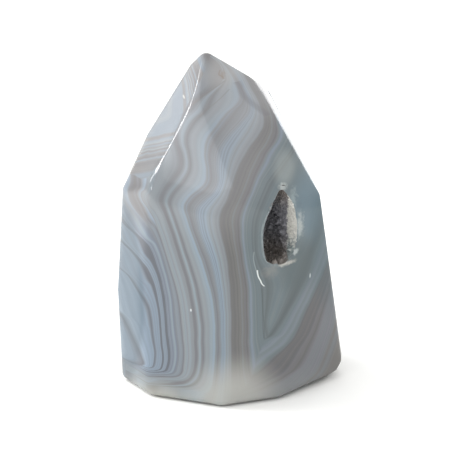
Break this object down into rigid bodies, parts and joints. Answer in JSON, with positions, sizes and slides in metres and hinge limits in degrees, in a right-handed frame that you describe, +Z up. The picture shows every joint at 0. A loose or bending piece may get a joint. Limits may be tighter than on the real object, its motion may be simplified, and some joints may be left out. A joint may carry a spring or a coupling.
{
  "type": "polished agate geode point",
  "caption": "Free-standing banded agate geode, cut and polished to a faceted point on a flat base, with an open pocket lined with quartz crystals in its front.",
  "frame": {"origin": "on the surface that the stone stands on, under the middle of its bounding box", "axes": "+Z up to the tip, -Y to the front with the pocket at its right, +X to the right"},
  "size_m": [0.0546, 0.0406, 0.0799],
  "materials": {
    "polished_agate": "polished, banded in pale blue-grey, milky grey, taupe and dark grey-brown, slightly translucent",
    "quartz_druse": "rough crust of fine grey crystals that sparkle"
  },
  "bodies": {
    "root": {"agate_stone": "polished_agate", "druzy_crust": "quartz_druse"}
  },
  "joints": []
}
